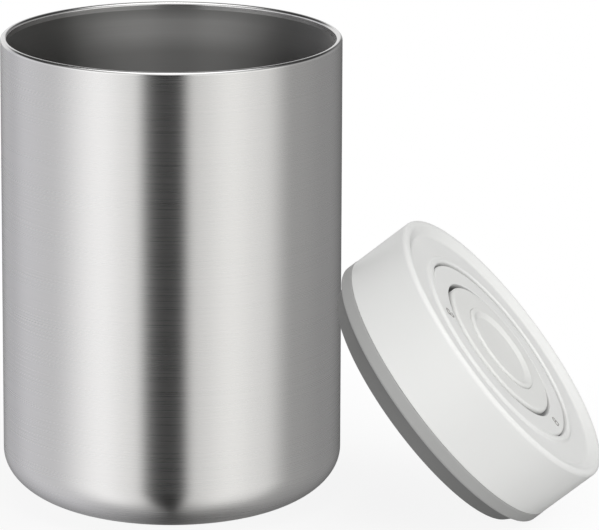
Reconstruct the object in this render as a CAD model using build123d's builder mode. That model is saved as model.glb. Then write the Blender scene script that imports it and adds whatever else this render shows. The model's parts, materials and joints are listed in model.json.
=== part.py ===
from build123d import *
import math
import os

# Vacuum seal canister: a double-walled steel canister that stands open, and beside it
# the lid with its hand pump, leaning on the canister's wall with the seal towards it.
# Millimetres, +Z up. The origin is on the canister's axis, on the surface it stands on.
# The lid is modelled where it leans. Its own heights are counted along its axis from
# the parting line between the white body and the grey seal, upwards to the button.

# Canister
canister_radius = 60.0
canister_height = 168.0
shell_wall = 0.9
corner_width = 30.8
corner_height = 19.2
rim_width = 2.3
hem_depth = 2.6
base_ring_width = 4.2
base_collar_height = 3.2
weld_gap = 0.05
liner_wall = 0.8
ledge_width = 3.1
ledge_drop = 9.0
liner_standoff = 6.0
liner_corner = 18.0
ledge_bend = 20.0
mouth_bend = 10.0

# Lid body
lid_mouth_gap = 2.7
lid_height = 24.5
side_wall = 2.2
top_wall = 2.2
rim_round = 1.8
rim_flat = 0.8
rim_slope_width = 3.4
recess_depth = 2.4
recess_round = 2.2
ridge_drop = 1.4
ridge_width = 2.8
ridge_flank = 0.9
ridge_round = 1.4
recess_width = 9.0
well_lip = 2.9
well_tube_wall = 1.8

# Seal
flange_overhang = 0.1
flange_height = 5.0
flange_round = 1.0
lip_depth = 6.2
lip_taper = 3.3
lip_round = 0.8
lip_clearance = 1.7
lip_tip_width = 3.3

# Turning ring
ring_gap = 0.6
ring_drop = 2.2
ring_width = 8.3
ring_wall = 1.8
ring_skirt = 1.4
ring_flange = 2.0
ring_round = 0.4
ring_play = 0.3
ring_turn = 135.0
stop_post_radius = 1.5
stop_slot_gap = 0.4
stop_post_angle = 40.0
stop_post_reach = 1.4
mark_height = 0.15
mark_line = 0.45
mark_width = 2.9
mark_body_height = 2.1
mark_shackle_radius = 0.95
mark_shackle_leg = 0.6
closed_mark_angle = -3.0
open_mark_angle = closed_mark_angle - ring_turn

# Retainer plate below the ring
retainer_thickness = 2.0
retainer_edge = 2.3
retainer_screw_offset = 4.1
retainer_screw_length = 5.2
boss_radius = 2.6
screw_radius = 1.0
screw_head_radius = 1.9
screw_head_height = 1.4
screw_gap = 0.05
screw_count = 4
screw_start_angle = 45.0
drive_slot_width = 0.5
drive_slot_depth = 0.7

# Pump button and its pad
button_ring_gap = 1.5
button_drop = 1.6
button_wall = 3.0
button_skirt = 1.4
button_skirt_depth = 10.2
button_round = 1.4
button_lip_height = 1.7
button_lip_width = 1.7
button_gap = 0.3
button_boss_radius = 5.5
pump_travel = 8.0
pad_margin = 9.6
pad_gap = 0.1
pad_seat_depth = 1.4
pad_rise = 0.9
pad_slope_width = 2.2
pad_crest_width = 1.6
pad_dish_depth = 1.2
pad_round = 1.0

# Cylinder, piston and valves
spring_channel = 3.9
cylinder_wall = 1.6
cylinder_floor = 2.0
cylinder_headroom = 0.8
cylinder_flange_height = 2.0
cylinder_flange_drop = 11.0
ear_radius = 2.9
ear_reach = 4.0
piston_clearance = 0.3
piston_length = 4.4
piston_dead_height = 2.2
piston_groove = 1.8
piston_groove_depth = 1.6
piston_seal_fit = 0.05
piston_screw_radius = 1.45
piston_screw_head_radius = 2.8
piston_screw_head_height = 1.6
piston_screw_length = 8.0
valve_stem_radius = 1.0
valve_bulb_radius = 1.5
valve_bulb_height = 0.9
valve_flap = 0.8
inlet_flap_radius = 6.5
outlet_flap_radius = 4.4
port_radius = 0.8
port_circle_share = 0.6
port_count = 6
gasket_thickness = 0.8
gasket_margin = 1.5

# Lid base, filter, cover and vent
base_floor = 2.0
base_lip_step = 1.2
base_wall = 2.0
base_fit = 0.3
base_flange_height = 2.0
snap_bead = 0.6
snap_bead_height = 0.8
seal_hook_width = 1.2
seal_hook_height = 1.2
intake_radius = 8.0
filter_margin = 2.5
filter_thickness = 0.6
cover_margin = 1.5
cover_thickness = 1.3
cover_recess = 1.0
cover_hole_radius = 1.1
cover_hole_margin = 1.6
vent_angle = -120.0
vent_tube_radius = 1.8
vent_bore = 0.8
vent_hole_gap = 0.1
vent_foot_radius = 3.0
vent_foot_height = 0.9
vent_pad_radius = 2.0
vent_pad_height = 1.6
vent_pad_gap = 0.15
vent_boss_radius = 2.7

# Return spring
spring_wire = 1.2
spring_clearance = 1.4
spring_turns = 5
spring_seat_gap = 0.05

# The lean: the lid's axis is tilted from upright, towards an angle about the canister
lean_angle = 50.8
lean_heading = -10.3
lean_gap = 0.3

# One overrun for all cuts, and the angle of the canister's bottom corner
overrun = 1.0
quarter_turn = 90

# Radii, worked out from the canister's inwards: the mouth, the lid that fits it with its
# seal, and on the lid's top the rim, recess, ridge, turning ring, button and pad
mouth_radius = canister_radius - rim_width
bore_radius = mouth_radius - ledge_width
corner_radius = canister_radius - corner_width
base_cap_radius = corner_radius - base_ring_width
lid_radius = mouth_radius - lid_mouth_gap
flange_radius = lid_radius + flange_overhang
lip_root_radius = bore_radius - lip_clearance
lip_tip_radius = lip_root_radius - lip_taper
seal_inner_radius = lip_tip_radius - lip_tip_width
slope_top = lid_radius - rim_round - rim_flat
slope_foot = slope_top - rim_slope_width
ridge_foot = slope_foot - recess_width
well_radius = ridge_foot - ridge_width
ring_radius = well_radius - ring_gap
ring_inner_radius = ring_radius - ring_width
ring_channel = 0.5 * (ring_inner_radius + ring_radius)
ring_flange_radius = ring_radius + ring_flange
well_tube_inner = ring_flange_radius + ring_play
well_tube_outer = well_tube_inner + well_tube_wall
retainer_screw_circle = well_tube_outer + retainer_screw_offset
retainer_radius = retainer_screw_circle + retainer_edge
button_radius = ring_inner_radius - button_ring_gap
pad_radius = button_radius - pad_margin
pad_dish_radius = pad_radius - pad_crest_width - pad_slope_width
skirt_inner_radius = button_radius - button_skirt
cylinder_outer = skirt_inner_radius - spring_channel
cylinder_bore = cylinder_outer - cylinder_wall
cylinder_flange_radius = skirt_inner_radius
ear_circle = cylinder_flange_radius + ear_reach
spring_mean_radius = cylinder_outer + spring_clearance + 0.5 * spring_wire
piston_radius = cylinder_bore - piston_clearance
outlet_valve_offset = 0.5 * (button_boss_radius + piston_radius)
gasket_inner_radius = intake_radius + gasket_margin
filter_radius = intake_radius + filter_margin
cover_radius = filter_radius + cover_margin
cover_hole_circle = intake_radius - cover_hole_margin
base_wall_radius = seal_inner_radius - base_fit
base_flange_radius = lid_radius - side_wall - base_fit

# Heights on the lid's axis, worked out from the sizes above
recess_height = lid_height - recess_depth
housing_ceiling = recess_height - top_wall
ridge_top = lid_height - ridge_drop
well_shoulder = ridge_top - well_lip
ring_top = lid_height - ring_drop
ring_ceiling = ring_top - ring_wall
ring_flange_top = well_shoulder - ring_play
button_top = lid_height - button_drop
button_under = button_top - button_wall
button_bottom = button_top - button_skirt_depth
button_lip_top = button_bottom + button_lip_height
retainer_under = button_lip_top + button_gap
retainer_top = retainer_under + retainer_thickness
ring_bottom = retainer_top + ring_play
lip_bottom = -flange_height - lip_depth
base_floor_drop = -lip_bottom - base_lip_step
base_under = -base_floor_drop
base_top = base_under + base_floor
gasket_top = base_top + gasket_thickness
cylinder_inside = gasket_top + cylinder_floor
cylinder_length = button_under - pump_travel - cylinder_headroom - gasket_top
cylinder_top = gasket_top + cylinder_length
ear_top = cylinder_top - cylinder_flange_drop
ear_under = ear_top - cylinder_flange_height
piston_under = cylinder_inside + piston_dead_height + pump_travel
piston_top = piston_under + piston_length
cover_under = base_under + cover_recess - filter_thickness - cover_thickness

# Where the lid leans: each corner of its outline is a circle (height, radius, rounding),
# and the lowest one stands on the surface while the nearest one meets the wall
lid_corners = [
    (lid_height - rim_round, lid_radius - rim_round, rim_round),
    (0.0, lid_radius, 0.0),
    (-flange_height + flange_round, flange_radius - flange_round, flange_round),
    (lip_bottom + lip_round, lip_tip_radius - lip_round, lip_round),
]
lean = math.radians(lean_angle)
heading = math.radians(lean_heading)
lowest = min(h * math.cos(lean) - r * math.sin(lean) - c for h, r, c in lid_corners)
nearest = min(h * math.sin(lean) - r * math.cos(lean) - c for h, r, c in lid_corners)
lean_distance = canister_radius + lean_gap - nearest
lid_origin = (lean_distance * math.cos(heading), lean_distance * math.sin(heading), -lowest)
lid_normal = (math.sin(lean) * math.cos(heading), math.sin(lean) * math.sin(heading), math.cos(lean))
down_slope = (math.cos(lean) * math.cos(heading), math.cos(lean) * math.sin(heading), -math.sin(lean))

# Planes: the lid's own plane at the parting line, and the section that holds its axis
lid_plane = Plane(origin=lid_origin, x_dir=down_slope, z_dir=lid_normal)
lid_section = Plane(origin=lid_origin, x_dir=down_slope, z_dir=-lid_plane.y_dir)
lid_axis = Axis(lid_origin, lid_normal)


def outline(*corners):
    """One closed outline through (across, up, rounding) corners."""
    with BuildLine() as edge:
        FilletPolyline(*[(x, y) for x, y, c in corners], radius=[c for x, y, c in corners], close=True)
    return edge.line


def arc_band(inner, outer, start, sweep):
    """The outline of a band between two radii, from one angle over a sweep."""
    a = math.radians(start)
    b = math.radians(start + sweep)
    with BuildLine() as edge:
        CenterArc((0, 0), inner, start, sweep)
        CenterArc((0, 0), outer, start, sweep)
        Line((inner * math.cos(a), inner * math.sin(a)), (outer * math.cos(a), outer * math.sin(a)))
        Line((inner * math.cos(b), inner * math.sin(b)), (outer * math.cos(b), outer * math.sin(b)))
    return edge.line


def screw_circle(seat_height, length, away, circle):
    """Pan head screws round the lid's axis: heads on a seat, shanks pointing away from them."""
    with BuildPart() as screws:
        with BuildSketch(lid_plane.offset(seat_height)):
            with PolarLocations(circle, screw_count, start_angle=screw_start_angle):
                Circle(screw_head_radius)
        extrude(amount=-away * screw_head_height)
        with BuildSketch(lid_plane.offset(seat_height)):
            with PolarLocations(circle, screw_count, start_angle=screw_start_angle):
                Circle(screw_radius)
        extrude(amount=away * length)
        with BuildSketch(lid_plane.offset(seat_height - away * screw_head_height)):
            with PolarLocations(circle, screw_count, start_angle=screw_start_angle):
                Rectangle(screw_head_radius, drive_slot_width)
                Rectangle(drive_slot_width, screw_head_radius)
        extrude(amount=away * drive_slot_depth, mode=Mode.SUBTRACT)
    return screws


def padlock(shackle_turn):
    """A line drawing of a padlock, its shackle swung about its right leg by an angle."""
    shackle_inner = mark_shackle_radius - 0.5 * mark_line
    shackle_outer = mark_shackle_radius + 0.5 * mark_line
    with BuildSketch() as shackle:
        with Locations((-mark_shackle_radius, mark_shackle_leg)):
            Circle(shackle_outer)
            Circle(shackle_inner, mode=Mode.SUBTRACT)
            with Locations((0, -shackle_outer)):
                Rectangle(2 * shackle_outer, 2 * shackle_outer, mode=Mode.SUBTRACT)
        with Locations((0, 0.5 * mark_shackle_leg), (-2 * mark_shackle_radius, 0.5 * mark_shackle_leg)):
            Rectangle(mark_line, mark_shackle_leg)
    with BuildSketch() as mark:
        Rectangle(mark_width, mark_body_height)
        Rectangle(mark_width - 2 * mark_line, mark_body_height - 2 * mark_line, mode=Mode.SUBTRACT)
        with Locations(Location((mark_shackle_radius, 0.5 * mark_body_height), shackle_turn)):
            add(shackle.sketch)
    return mark.sketch


os.makedirs("parts", exist_ok=True)

# Outer shell: straight wall, elliptical bottom corner, and the rim rolled to the inside
rim_centre = canister_radius - 0.5 * rim_width
rim_height = canister_height - 0.5 * rim_width
hem_bottom = canister_height - hem_depth
with BuildPart() as outer_shell:
    with BuildSketch(Plane.XZ):
        with BuildLine():
            Line((base_cap_radius, 0), (corner_radius, 0))
            EllipticalCenterArc((corner_radius, corner_height), corner_width, corner_height, -quarter_turn, arc_size=quarter_turn)
            Line((canister_radius, corner_height), (canister_radius, rim_height))
            ThreePointArc(
                (canister_radius, rim_height), (rim_centre, canister_height), (mouth_radius, rim_height)
            )
            Polyline(
                (mouth_radius, rim_height),
                (mouth_radius, hem_bottom),
                (canister_radius - shell_wall, hem_bottom),
                (canister_radius - shell_wall, corner_height),
            )
            EllipticalCenterArc(
                (corner_radius, corner_height),
                corner_width - shell_wall,
                corner_height - shell_wall,
                -quarter_turn,
                arc_size=quarter_turn,
            )
            Polyline((corner_radius, shell_wall), (base_cap_radius, shell_wall), (base_cap_radius, 0))
        make_face()
    revolve(axis=Axis.Z)
outer_shell.part.label = "outer_shell"
export_step(outer_shell.part, "parts/outer_shell.step")

# Inner liner: mouth band below the rim, the sloping ledge that the seal's flange wedges
# into, and the food vessel
ledge_height = canister_height - flange_height
ledge_foot = ledge_height - ledge_drop
ledge_shift = liner_wall * math.tan(0.5 * math.atan2(ledge_width, ledge_drop))
liner_floor = shell_wall + liner_standoff + liner_wall
liner_outer = bore_radius + liner_wall
band_outer = mouth_radius + liner_wall
with BuildPart() as inner_liner:
    with BuildSketch(Plane.XZ):
        with BuildLine():
            FilletPolyline(
                (mouth_radius, hem_bottom),
                (mouth_radius, ledge_height),
                (bore_radius, ledge_foot),
                (bore_radius, liner_floor),
                (0, liner_floor),
                radius=[mouth_bend, ledge_bend, liner_corner],
            )
            FilletPolyline(
                (band_outer, hem_bottom),
                (band_outer, ledge_height - ledge_shift),
                (liner_outer, ledge_foot - ledge_shift),
                (liner_outer, liner_floor - liner_wall),
                (0, liner_floor - liner_wall),
                radius=[mouth_bend + liner_wall, ledge_bend - liner_wall, liner_corner + liner_wall],
            )
            Line((mouth_radius, hem_bottom), (band_outer, hem_bottom))
            Line((0, liner_floor), (0, liner_floor - liner_wall))
        make_face()
    revolve(axis=Axis.Z)
inner_liner.part.label = "inner_liner"
export_step(inner_liner.part, "parts/inner_liner.step")

# Base cap: the disc that closes the shell from below, with a welded collar inside
cap_radius = base_cap_radius - weld_gap
with BuildPart() as base_cap:
    with BuildSketch(Plane.XY):
        Circle(cap_radius)
    extrude(amount=shell_wall)
    with BuildSketch(Plane.XY):
        Circle(cap_radius)
        Circle(cap_radius - shell_wall, mode=Mode.SUBTRACT)
    extrude(amount=base_collar_height)
base_cap.part.label = "base_cap"
export_step(base_cap.part, "parts/base_cap.step")

# Lid housing: outer wall, dished top, raised ring round the well, tube and screw bosses
inside_radius = lid_radius - side_wall
snap_middle = 0.5 * base_flange_height
snap_groove = inside_radius + snap_bead
with BuildPart() as lid_housing:
    with BuildSketch(lid_section):
        make_face(
            outline(
                (inside_radius, 0, 0),
                (lid_radius, 0, 0),
                (lid_radius, lid_height, rim_round),
                (slope_top, lid_height, recess_round),
                (slope_foot, recess_height, recess_round),
                (ridge_foot, recess_height, ridge_round),
                (ridge_foot - ridge_flank, ridge_top, ridge_round),
                (well_radius, ridge_top, 0.5 * ridge_round),
                (well_radius, well_shoulder, 0),
                (well_tube_inner, well_shoulder, 0),
                (well_tube_inner, retainer_top, 0),
                (well_tube_outer, retainer_top, 0),
                (well_tube_outer, housing_ceiling, 0),
                (inside_radius, housing_ceiling, 0),
                (inside_radius, snap_middle + snap_bead_height, 0),
                (snap_groove, snap_middle + 0.5 * snap_bead_height, 0),
                (snap_groove, snap_middle - 0.5 * snap_bead_height, 0),
                (inside_radius, snap_middle - snap_bead_height, 0),
            )
        )
    revolve(axis=lid_axis)
    with BuildSketch(lid_plane.offset(retainer_top)):
        with PolarLocations(retainer_screw_circle, screw_count, start_angle=screw_start_angle):
            Circle(boss_radius)
    extrude(amount=housing_ceiling - retainer_top + 0.5 * top_wall)
    with BuildSketch(lid_plane.offset(retainer_top)):
        with PolarLocations(retainer_screw_circle, screw_count, start_angle=screw_start_angle):
            Circle(screw_radius + screw_gap)
    extrude(amount=retainer_screw_length - retainer_thickness + screw_gap, mode=Mode.SUBTRACT)
lid_housing.part.label = "lid_housing"
export_step(lid_housing.part, "parts/lid_housing.step")

# Turning ring: shallow channel section with an outer flange, stop post, pad boss and marks
stop_post_bottom = retainer_under - stop_post_reach
closed_pad_angle = vent_angle
open_pad_angle = closed_pad_angle + ring_turn
with BuildPart() as lock_ring:
    with BuildSketch(lid_section):
        make_face(
            outline(
                (ring_inner_radius, ring_bottom, 0),
                (ring_inner_radius + ring_skirt, ring_bottom, 0),
                (ring_inner_radius + ring_skirt, ring_ceiling, 0),
                (ring_radius - ring_skirt, ring_ceiling, 0),
                (ring_radius - ring_skirt, ring_bottom, 0),
                (ring_flange_radius, ring_bottom, 0),
                (ring_flange_radius, ring_flange_top, 0),
                (ring_radius, ring_flange_top, 0),
                (ring_radius, ring_top, ring_round),
                (ring_inner_radius, ring_top, ring_round),
            )
        )
    revolve(axis=lid_axis)
    with BuildSketch(lid_plane.offset(stop_post_bottom)):
        with PolarLocations(ring_channel, 1, start_angle=stop_post_angle):
            Circle(stop_post_radius)
    extrude(amount=ring_ceiling - stop_post_bottom + 0.5 * ring_wall)
    with BuildSketch(lid_plane.offset(ring_bottom)):
        with PolarLocations(ring_channel, 1, start_angle=open_pad_angle):
            Circle(vent_boss_radius)
    extrude(amount=ring_ceiling - ring_bottom + 0.5 * ring_wall)
    with BuildSketch(lid_plane.offset(ring_bottom)):
        with PolarLocations(ring_channel, 1, start_angle=open_pad_angle):
            Circle(vent_pad_radius + weld_gap)
    extrude(amount=vent_pad_height, mode=Mode.SUBTRACT)
    for mark_angle, shackle_turn in ((closed_mark_angle, 0), (open_mark_angle, -35)):
        with BuildSketch(lid_plane.offset(ring_top)):
            with PolarLocations(ring_channel + 0.5 * mark_shackle_radius, 1, start_angle=mark_angle):
                with Locations(Location((0, 0), quarter_turn)):
                    add(padlock(shackle_turn))
        extrude(amount=mark_height)
lock_ring.part.label = "lock_ring"
export_step(lock_ring.part, "parts/lock_ring.step")

# Vent pad: rubber disc under the ring that lies over the vent tube once the ring is closed
with BuildPart() as vent_pad:
    with BuildSketch(lid_plane.offset(retainer_top + vent_pad_gap)):
        with PolarLocations(ring_channel, 1, start_angle=open_pad_angle):
            Circle(vent_pad_radius)
    extrude(amount=vent_pad_height + ring_play - vent_pad_gap)
vent_pad.part.label = "vent_pad"
export_step(vent_pad.part, "parts/vent_pad.step")

# Retainer plate: holds the ring in its well, guides the button, and has the arc slot
# that the ring's stop post runs in
slot_half_width = stop_post_radius + stop_slot_gap
slot_end_angle = math.degrees(slot_half_width / ring_channel)
with BuildPart() as ring_retainer:
    with BuildSketch(lid_plane.offset(retainer_under)):
        Circle(retainer_radius)
        Circle(button_radius + button_gap, mode=Mode.SUBTRACT)
        with PolarLocations(retainer_screw_circle, screw_count, start_angle=screw_start_angle):
            Circle(screw_radius + screw_gap, mode=Mode.SUBTRACT)
        with PolarLocations(ring_channel, 1, start_angle=vent_angle):
            Circle(vent_tube_radius + vent_hole_gap, mode=Mode.SUBTRACT)
    extrude(amount=retainer_thickness)
    with BuildSketch(lid_plane.offset(retainer_under)):
        make_face(
            arc_band(
                ring_channel - slot_half_width,
                ring_channel + slot_half_width,
                stop_post_angle - ring_turn - slot_end_angle,
                ring_turn + 2 * slot_end_angle,
            )
        )
    extrude(amount=retainer_thickness, mode=Mode.SUBTRACT)
ring_retainer.part.label = "ring_retainer"
export_step(ring_retainer.part, "parts/ring_retainer.step")

retainer_screws = screw_circle(retainer_under, retainer_screw_length, 1, retainer_screw_circle)
retainer_screws.part.label = "retainer_screws"
export_step(retainer_screws.part, "parts/retainer_screws.step")

# Pump button: cap with a seat for the pad, skirt with a catching lip, and the piston boss
pad_seat = button_top - pad_seat_depth
with BuildPart() as pump_button:
    with BuildSketch(lid_section):
        make_face(
            outline(
                (0, button_under, 0),
                (skirt_inner_radius, button_under, 0),
                (skirt_inner_radius, button_bottom, 0),
                (button_radius + button_lip_width, button_bottom, 0),
                (button_radius + button_lip_width, button_lip_top, 0),
                (button_radius, button_lip_top, 0),
                (button_radius, button_top, button_round),
                (pad_radius + pad_gap, button_top, 0),
                (pad_radius + pad_gap, pad_seat, 0),
                (0, pad_seat, 0),
            )
        )
    revolve(axis=lid_axis)
    with BuildSketch(lid_plane.offset(piston_top)):
        Circle(button_boss_radius)
    extrude(amount=button_under - piston_top + 0.5 * (pad_seat - button_under))
    with BuildSketch(lid_plane.offset(piston_top)):
        Circle(piston_screw_radius + screw_gap)
    extrude(amount=piston_screw_length, mode=Mode.SUBTRACT)
pump_button.part.label = "pump_button"
export_step(pump_button.part, "parts/pump_button.step")

# Button pad: the raised disc in the button's middle, dished for a fingertip
pad_top = button_top + pad_rise
with BuildPart() as button_pad:
    with BuildSketch(lid_section):
        make_face(
            outline(
                (0, pad_seat, 0),
                (pad_radius, pad_seat, 0),
                (pad_radius, pad_top, pad_round),
                (pad_radius - pad_crest_width, pad_top, pad_round),
                (pad_dish_radius, pad_top - pad_dish_depth, pad_round),
                (0, pad_top - pad_dish_depth, 0),
            )
        )
    revolve(axis=lid_axis)
button_pad.part.label = "button_pad"
export_step(button_pad.part, "parts/button_pad.step")

# Piston: disc with a seal groove, a hole for its screw and the outlet valve's ports
groove_middle = 0.5 * (piston_under + piston_top)
groove_radius = piston_radius - piston_groove_depth
outlet_ports = port_circle_share * outlet_flap_radius
with BuildPart() as piston:
    with BuildSketch(lid_section):
        make_face(
            outline(
                (0, piston_under, 0),
                (piston_radius, piston_under, 0),
                (piston_radius, groove_middle - 0.5 * piston_groove, 0),
                (groove_radius, groove_middle - 0.5 * piston_groove, 0),
                (groove_radius, groove_middle + 0.5 * piston_groove, 0),
                (piston_radius, groove_middle + 0.5 * piston_groove, 0),
                (piston_radius, piston_top, 0),
                (0, piston_top, 0),
            )
        )
    revolve(axis=lid_axis)
    with BuildSketch(lid_plane.offset(piston_under)):
        Circle(piston_screw_radius + screw_gap)
        with Locations((outlet_valve_offset, 0)):
            Circle(valve_stem_radius + screw_gap)
            with PolarLocations(outlet_ports, port_count):
                Circle(port_radius)
    extrude(amount=piston_length, mode=Mode.SUBTRACT)
    with BuildSketch(lid_plane.offset(piston_under)):
        Circle(piston_screw_head_radius + screw_gap)
        with Locations((outlet_valve_offset, 0)):
            Circle(outlet_flap_radius)
    extrude(amount=piston_screw_head_height + screw_gap, mode=Mode.SUBTRACT)
piston.part.label = "piston"
export_step(piston.part, "parts/piston.step")

with BuildPart() as piston_seal:
    with BuildSketch(lid_plane.offset(groove_middle - 0.5 * piston_groove + weld_gap)):
        Circle(cylinder_bore - piston_seal_fit)
        Circle(groove_radius + weld_gap, mode=Mode.SUBTRACT)
    extrude(amount=piston_groove - 2 * weld_gap)
piston_seal.part.label = "piston_seal"
export_step(piston_seal.part, "parts/piston_seal.step")

# Outlet valve: umbrella of rubber on the piston, its stem through it and a bulb below
bulb_ceiling = piston_under + piston_screw_head_height + screw_gap
with BuildPart() as outlet_valve:
    with BuildSketch(lid_plane.offset(piston_top)):
        with Locations((outlet_valve_offset, 0)):
            Circle(outlet_flap_radius)
    extrude(amount=valve_flap)
    with BuildSketch(lid_plane.offset(bulb_ceiling)):
        with Locations((outlet_valve_offset, 0)):
            Circle(valve_stem_radius)
    extrude(amount=piston_top - bulb_ceiling)
    with BuildSketch(lid_plane.offset(bulb_ceiling)):
        with Locations((outlet_valve_offset, 0)):
            Circle(valve_bulb_radius)
    extrude(amount=-valve_bulb_height)
outlet_valve.part.label = "outlet_valve"
export_step(outlet_valve.part, "parts/outlet_valve.step")

# Piston screw: from below, up into the button's boss
head_top = piston_under + piston_screw_head_height
with BuildPart() as piston_screw:
    with BuildSketch(lid_plane.offset(head_top)):
        Circle(piston_screw_head_radius)
    extrude(amount=-piston_screw_head_height)
    with BuildSketch(lid_plane.offset(head_top)):
        Circle(piston_screw_radius)
    extrude(amount=piston_top - head_top + piston_screw_length - overrun)
    with BuildSketch(lid_plane.offset(piston_under)):
        Rectangle(piston_screw_head_radius, drive_slot_width)
        Rectangle(drive_slot_width, piston_screw_head_radius)
    extrude(amount=drive_slot_depth, mode=Mode.SUBTRACT)
piston_screw.part.label = "piston_screw"
export_step(piston_screw.part, "parts/piston_screw.step")

# Pump cylinder: cup on the lid base, with the spring's flange, four screw ears and the
# inlet ports in its floor
inlet_ports = port_circle_share * inlet_flap_radius
with BuildPart() as pump_cylinder:
    with BuildSketch(lid_section):
        make_face(
            outline(
                (0, gasket_top, 0),
                (cylinder_outer, gasket_top, 0),
                (cylinder_outer, ear_under, 0),
                (cylinder_flange_radius, ear_under, 0),
                (cylinder_flange_radius, ear_top, 0),
                (cylinder_outer, ear_top, 0),
                (cylinder_outer, cylinder_top, 0),
                (cylinder_bore, cylinder_top, 0),
                (cylinder_bore, cylinder_inside, 0),
                (0, cylinder_inside, 0),
            )
        )
    revolve(axis=lid_axis)
    with BuildSketch(lid_plane.offset(ear_under)):
        with PolarLocations(0, screw_count, start_angle=screw_start_angle):
            with Locations((0.5 * (cylinder_outer + ear_circle), 0)):
                Rectangle(ear_circle - cylinder_outer, 2 * ear_radius)
        with PolarLocations(ear_circle, screw_count, start_angle=screw_start_angle):
            Circle(ear_radius)
    extrude(amount=cylinder_flange_height)
    with BuildSketch(lid_plane.offset(ear_under)):
        with PolarLocations(ear_circle, screw_count, start_angle=screw_start_angle):
            Circle(screw_radius + screw_gap)
    extrude(amount=cylinder_flange_height, mode=Mode.SUBTRACT)
    with BuildSketch(lid_plane.offset(gasket_top)):
        Circle(valve_stem_radius + screw_gap)
        with PolarLocations(inlet_ports, port_count):
            Circle(port_radius)
    extrude(amount=cylinder_floor, mode=Mode.SUBTRACT)
pump_cylinder.part.label = "pump_cylinder"
export_step(pump_cylinder.part, "parts/pump_cylinder.step")

cylinder_screws = screw_circle(ear_top, ear_top - base_top - 0.5 * base_floor, -1, ear_circle)
cylinder_screws.part.label = "cylinder_screws"
export_step(cylinder_screws.part, "parts/cylinder_screws.step")

with BuildPart() as cylinder_gasket:
    with BuildSketch(lid_plane.offset(base_top)):
        Circle(cylinder_outer)
        Circle(gasket_inner_radius, mode=Mode.SUBTRACT)
    extrude(amount=gasket_thickness)
cylinder_gasket.part.label = "cylinder_gasket"
export_step(cylinder_gasket.part, "parts/cylinder_gasket.step")

# Inlet valve: umbrella on the cylinder's floor, bulb in the opening of the lid base
with BuildPart() as inlet_valve:
    with BuildSketch(lid_plane.offset(cylinder_inside)):
        Circle(inlet_flap_radius)
    extrude(amount=valve_flap)
    with BuildSketch(lid_plane.offset(cylinder_inside)):
        Circle(valve_stem_radius)
    extrude(amount=-cylinder_floor)
    with BuildSketch(lid_plane.offset(gasket_top)):
        Circle(valve_bulb_radius)
    extrude(amount=-valve_bulb_height)
inlet_valve.part.label = "inlet_valve"
export_step(inlet_valve.part, "parts/inlet_valve.step")

# Lid base: pan inside the seal, with the snap bead for the housing, bosses for the
# cylinder, the intake opening with a recess for its cover, and the vent hole
snap_bead_radius = base_flange_radius + snap_bead
hook_radius = base_wall_radius + seal_hook_width
with BuildPart() as lid_base:
    with BuildSketch(lid_section):
        make_face(
            outline(
                (0, base_under, 0),
                (hook_radius, base_under, 0),
                (hook_radius, base_under + seal_hook_height, 0),
                (base_wall_radius, base_under + seal_hook_height, 0),
                (base_wall_radius, 0, 0),
                (base_flange_radius, 0, 0),
                (base_flange_radius, snap_middle - snap_bead_height, 0),
                (snap_bead_radius, snap_middle - 0.5 * snap_bead_height, 0),
                (snap_bead_radius, snap_middle + 0.5 * snap_bead_height, 0),
                (base_flange_radius, snap_middle + snap_bead_height, 0),
                (base_flange_radius, base_flange_height, 0),
                (base_wall_radius - base_wall, base_flange_height, 0),
                (base_wall_radius - base_wall, base_top, 0),
                (0, base_top, 0),
            )
        )
    revolve(axis=lid_axis)
    with BuildSketch(lid_plane.offset(base_top)):
        with PolarLocations(ear_circle, screw_count, start_angle=screw_start_angle):
            Circle(boss_radius)
    extrude(amount=ear_under - base_top)
    with BuildSketch(lid_plane.offset(ear_under)):
        with PolarLocations(ear_circle, screw_count, start_angle=screw_start_angle):
            Circle(screw_radius + screw_gap)
    extrude(amount=base_top + 0.5 * base_floor - ear_under - screw_gap, mode=Mode.SUBTRACT)
    with BuildSketch(lid_plane.offset(base_under)):
        Circle(cover_radius + weld_gap)
    extrude(amount=cover_recess, mode=Mode.SUBTRACT)
    with BuildSketch(lid_plane.offset(base_under)):
        Circle(intake_radius)
        with PolarLocations(ring_channel, 1, start_angle=vent_angle):
            Circle(vent_tube_radius + screw_gap)
    extrude(amount=base_floor, mode=Mode.SUBTRACT)
lid_base.part.label = "lid_base"
export_step(lid_base.part, "parts/lid_base.step")

# Seal ring: flange that wedges on the canister's sloping ledge, and the tapered lip below,
# with a groove inside that the lid base hooks into
hook_gap = 0.5 * base_fit
with BuildPart() as seal_ring:
    with BuildSketch(lid_section):
        make_face(
            outline(
                (seal_inner_radius, 0, 0),
                (flange_radius, 0, 0.5 * flange_round),
                (flange_radius, -flange_height, flange_round),
                (lip_root_radius, -flange_height, 0),
                (lip_tip_radius, lip_bottom, lip_round),
                (seal_inner_radius, lip_bottom, 0),
                (seal_inner_radius, base_under - hook_gap, 0),
                (hook_radius + hook_gap, base_under - hook_gap, 0),
                (hook_radius + hook_gap, base_under + seal_hook_height + hook_gap, 0),
                (seal_inner_radius, base_under + seal_hook_height + hook_gap, 0),
            )
        )
    revolve(axis=lid_axis)
seal_ring.part.label = "seal_ring"
export_step(seal_ring.part, "parts/seal_ring.step")

# Intake filter and its pierced cover, in the recess below the lid base
filter_under = base_under + cover_recess - filter_thickness
with BuildPart() as intake_filter:
    with BuildSketch(lid_plane.offset(filter_under)):
        Circle(filter_radius)
    extrude(amount=filter_thickness)
intake_filter.part.label = "intake_filter"
export_step(intake_filter.part, "parts/intake_filter.step")

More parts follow.
